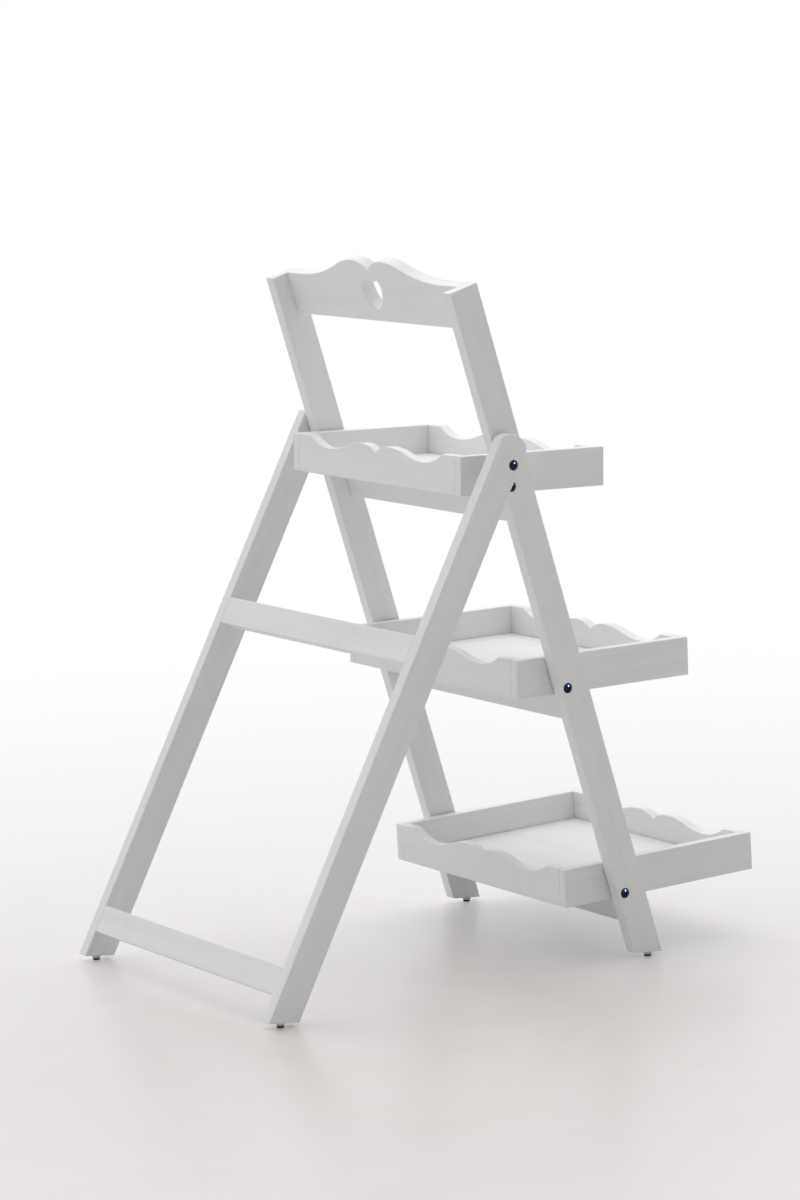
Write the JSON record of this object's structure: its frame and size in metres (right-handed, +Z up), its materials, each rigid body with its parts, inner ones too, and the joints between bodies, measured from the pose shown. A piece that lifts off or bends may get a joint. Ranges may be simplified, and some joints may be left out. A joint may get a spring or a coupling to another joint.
{
  "type": "step shelf",
  "caption": "White folding step shelf: a leaning ladder with a heart-cut crest carries scalloped trays that swing up, and a hinged rear leg frame props it.",
  "frame": {"origin": "on the floor, below the middle of the open shelf's bounding box", "axes": "+Z up, -Y to the front where the trays reach out, +Y to the rear legs, +X across the shelf"},
  "size_m": [0.4886, 0.7578, 0.8996],
  "materials": {
    "painted_wood": "satin white paint",
    "dark_heads": "dark blue, slightly glossy",
    "plated_steel": "zinc plated",
    "nail_steel": "bright drawn",
    "glide_plastic": "matt",
    "dark_rubber": "matt"
  },
  "bodies": {
    "ladder": {"left_stringer": "painted_wood", "right_stringer": "painted_wood", "crest_board": "painted_wood", "bottom_tray_rail": "painted_wood", "middle_tray_rail": "painted_wood", "top_tray_rail": "painted_wood", "stringer_glides": "glide_plastic", "stringer_glide_pads": "dark_rubber", "stringer_glide_nails": "nail_steel", "tee_nuts": "plated_steel", "leg_pivot_bolts": "dark_heads", "leg_spacer_washers": "plated_steel", "tray_spacer_washers": "plated_steel"},
    "rear_frame": {"left_leg": "painted_wood", "right_leg": "painted_wood", "upper_leg_rail": "painted_wood", "lower_leg_rail": "painted_wood", "leg_glides": "glide_plastic", "leg_glide_pads": "dark_rubber", "leg_glide_nails": "nail_steel"},
    "bottom_tray": {"bottom_tray_rear_wall": "painted_wood", "bottom_tray_front_wall": "painted_wood", "bottom_tray_left_side": "painted_wood", "bottom_tray_right_side": "painted_wood", "bottom_tray_panel": "painted_wood", "bottom_tray_screws": "dark_heads", "bottom_tray_brads": "nail_steel"},
    "middle_tray": {"middle_tray_rear_wall": "painted_wood", "middle_tray_front_wall": "painted_wood", "middle_tray_left_side": "painted_wood", "middle_tray_right_side": "painted_wood", "middle_tray_panel": "painted_wood", "middle_tray_screws": "dark_heads", "middle_tray_brads": "nail_steel"},
    "top_tray": {"top_tray_rear_wall": "painted_wood", "top_tray_front_wall": "painted_wood", "top_tray_left_side": "painted_wood", "top_tray_right_side": "painted_wood", "top_tray_panel": "painted_wood", "top_tray_screws": "dark_heads", "top_tray_brads": "nail_steel"}
  },
  "joints": [
    {"name": "bottom_tray_swing", "type": "hinge", "parent": "ladder", "child": "bottom_tray", "pos_m": [0, -0.16172, 0.08844], "axis": [-1, 0, 0], "range_deg": [0, 104.2]},
    {"name": "middle_tray_swing", "type": "hinge", "parent": "ladder", "child": "middle_tray", "pos_m": [0, -0.08248, 0.36116], "axis": [-1, 0, 0], "range_deg": [0, 105.8]},
    {"name": "top_tray_swing", "type": "hinge", "parent": "ladder", "child": "top_tray", "pos_m": [0, -0.00688, 0.6214], "axis": [-1, 0, 0], "range_deg": [0, 107.7]},
    {"name": "leg_fold", "type": "hinge", "parent": "ladder", "child": "rear_frame", "pos_m": [0, 0.00369, 0.65061], "axis": [-1, 0, 0], "range_deg": [0, 33]}
  ]
}
